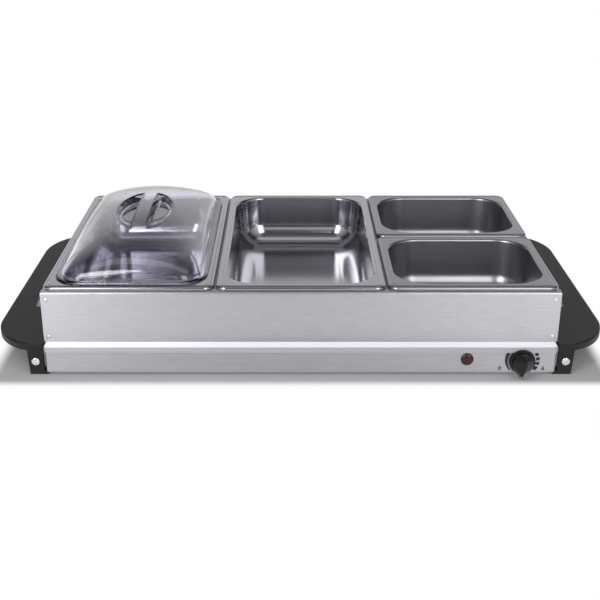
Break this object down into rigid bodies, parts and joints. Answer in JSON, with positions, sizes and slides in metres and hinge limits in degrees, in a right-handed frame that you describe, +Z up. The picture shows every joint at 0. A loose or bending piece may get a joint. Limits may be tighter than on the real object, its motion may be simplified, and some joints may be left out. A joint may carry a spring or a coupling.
{
  "type": "buffet server",
  "caption": "Electric buffet server: a heated steel base with side handles, a lift-off frame with rectangular pans, and a clear lift-off lid.",
  "frame": {"origin": "centre of the bounding box at the level of the feet's undersides", "axes": "+X to the right of someone at the front with the knob, along the longest side; +Y to the back; +Z up"},
  "size_m": [0.6516, 0.3902, 0.1319],
  "materials": {
    "brushed_steel": "brushed stainless sheet, satin",
    "drawn_steel": "deep-drawn stainless sheet, polished",
    "zinc_steel": "zinc-plated steel sheet and screws",
    "black_plastic": "moulded heat-resistant plastic, matt",
    "clear_plastic": "clear moulded plastic, glossy",
    "red_lens": "dark red translucent moulding",
    "grey_plastic": "moulded insulating plastic",
    "white_ceramic": "glazed insulating block",
    "heater_sheath": "heat-browned metal sheath"
  },
  "bodies": {
    "base": {"warming_plate": "brushed_steel", "base_housing": "brushed_steel", "bottom_cover": "zinc_steel", "heating_element": "heater_sheath", "heat_reflector": "zinc_steel", "thermal_cutout": "zinc_steel", "thermostat_body": "grey_plastic", "thermostat_nut": "zinc_steel", "indicator_lens": "red_lens", "indicator_holder": "grey_plastic", "cord_gland": "black_plastic", "terminal_block": "white_ceramic", "handle_left": "black_plastic", "handle_right": "black_plastic", "handle_bracket_left": "zinc_steel", "handle_bracket_right": "zinc_steel", "element_clip_1": "zinc_steel", "element_clip_2": "zinc_steel", "element_clip_3": "zinc_steel", "element_clip_4": "zinc_steel", "cover_screw_1": "zinc_steel", "cover_screw_2": "zinc_steel", "cover_screw_3": "zinc_steel", "cover_screw_4": "zinc_steel", "leg_screw_front_left": "zinc_steel", "leg_screw_front_right": "zinc_steel", "leg_screw_rear_left": "zinc_steel", "leg_screw_rear_right": "zinc_steel"},
    "pan_frame": {"frame_front": "brushed_steel", "frame_rear": "brushed_steel", "frame_left": "brushed_steel", "frame_right": "brushed_steel", "divider_left": "zinc_steel", "divider_right": "zinc_steel", "divider_short": "zinc_steel", "rivet_front_1": "brushed_steel", "rivet_front_2": "brushed_steel", "rivet_front_3": "brushed_steel", "rivet_front_4": "brushed_steel", "rivet_rear_1": "brushed_steel", "rivet_rear_2": "brushed_steel", "rivet_rear_3": "brushed_steel", "rivet_rear_4": "brushed_steel"},
    "left_pan": {"pan_left": "drawn_steel"},
    "middle_pan": {"pan_middle": "drawn_steel"},
    "small_front_pan": {"pan_small_front": "drawn_steel"},
    "small_rear_pan": {"pan_small_rear": "drawn_steel"},
    "lid": {"lid": "clear_plastic"},
    "knob": {"control_knob": "black_plastic", "thermostat_shaft": "zinc_steel"}
  },
  "joints": [
    {"name": "frame_lift", "type": "slide", "parent": "base", "child": "pan_frame", "axis": [0, 0, 1], "range_m": [0, 0.12]},
    {"name": "left_pan_lift", "type": "slide", "parent": "pan_frame", "child": "left_pan", "axis": [0, 0, 1], "range_m": [0, 0.12]},
    {"name": "middle_pan_lift", "type": "slide", "parent": "pan_frame", "child": "middle_pan", "axis": [0, 0, 1], "range_m": [0, 0.12]},
    {"name": "small_front_pan_lift", "type": "slide", "parent": "pan_frame", "child": "small_front_pan", "axis": [0, 0, 1], "range_m": [0, 0.12]},
    {"name": "small_rear_pan_lift", "type": "slide", "parent": "pan_frame", "child": "small_rear_pan", "axis": [0, 0, 1], "range_m": [0, 0.12]},
    {"name": "lid_lift", "type": "slide", "parent": "left_pan", "child": "lid", "axis": [0, 0, 1], "range_m": [0, 0.12]},
    {"name": "knob_turn", "type": "hinge", "parent": "base", "child": "knob", "pos_m": [0.2295, -0.187, 0.0177], "axis": [0, 1, 0], "range_deg": [0, 285]}
  ]
}
